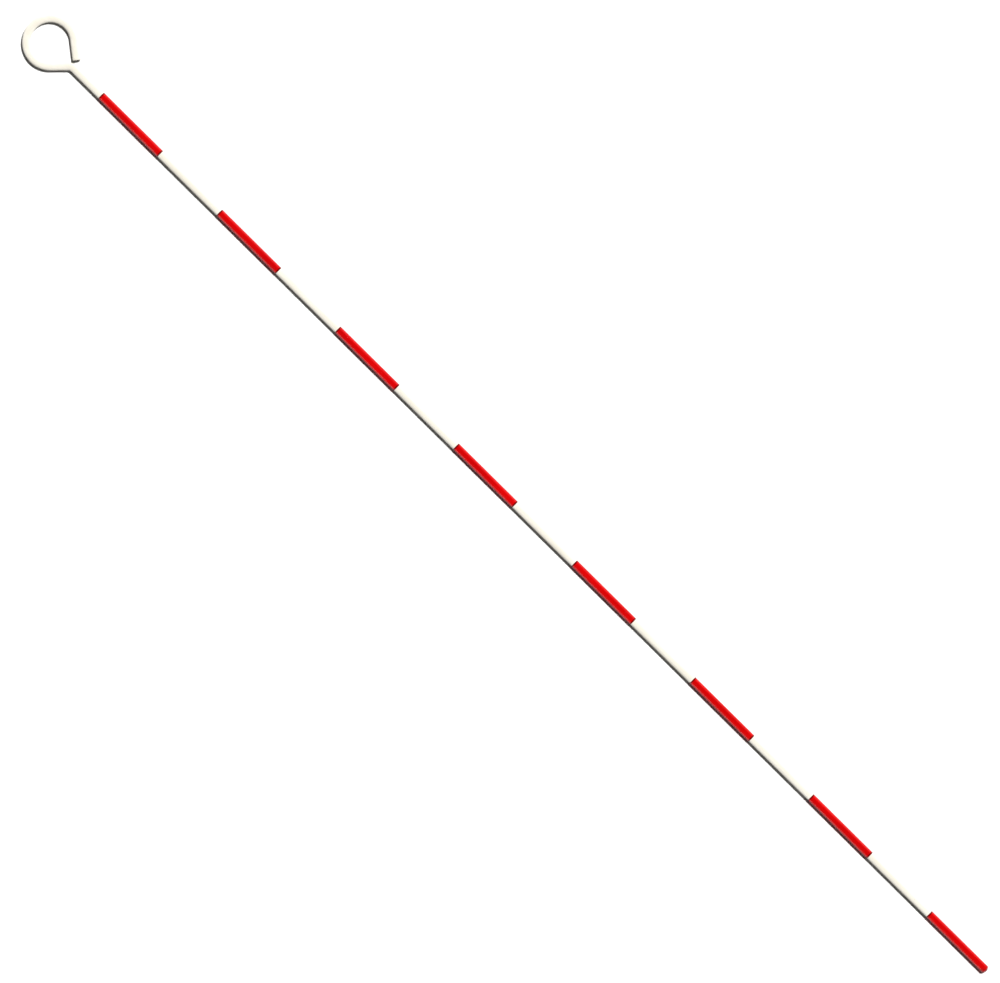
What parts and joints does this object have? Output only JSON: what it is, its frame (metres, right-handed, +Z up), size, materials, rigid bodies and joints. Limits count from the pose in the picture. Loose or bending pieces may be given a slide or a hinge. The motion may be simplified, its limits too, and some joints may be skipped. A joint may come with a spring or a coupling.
{
  "type": "avalanche probe",
  "caption": "Rigid avalanche probe: a straight tube banded red and white as a depth scale, with an open ring handle bent at one end and a blunt rounded tip at the other.",
  "frame": {"origin": "on the surface the probe lies on, under the middle of its bounding box; the shaft's axis runs 5 mm to the -Y side of it", "axes": "+X along the shaft from the ring handle to the tip, +Z up from the surface it lies on, +Y to the side where the ring's free end is; the ring lies in the XY plane"},
  "size_m": [3.24, 0.1359, 0.0205],
  "materials": {
    "white_coat": "satin",
    "red_sleeve": "gloss",
    "red_nose": "gloss",
    "white_cap": "matte",
    "pin_steel": "satin"
  },
  "bodies": {
    "root": {"shaft_tube": "white_coat", "ring_handle": "white_coat", "handle_pin": "pin_steel", "tip_plug": "red_nose", "ring_end_plug": "white_cap", "red_band_1": "red_sleeve", "red_band_2": "red_sleeve", "red_band_3": "red_sleeve", "red_band_4": "red_sleeve", "red_band_5": "red_sleeve", "red_band_6": "red_sleeve", "red_band_7": "red_sleeve", "red_band_8": "red_sleeve"}
  },
  "joints": []
}
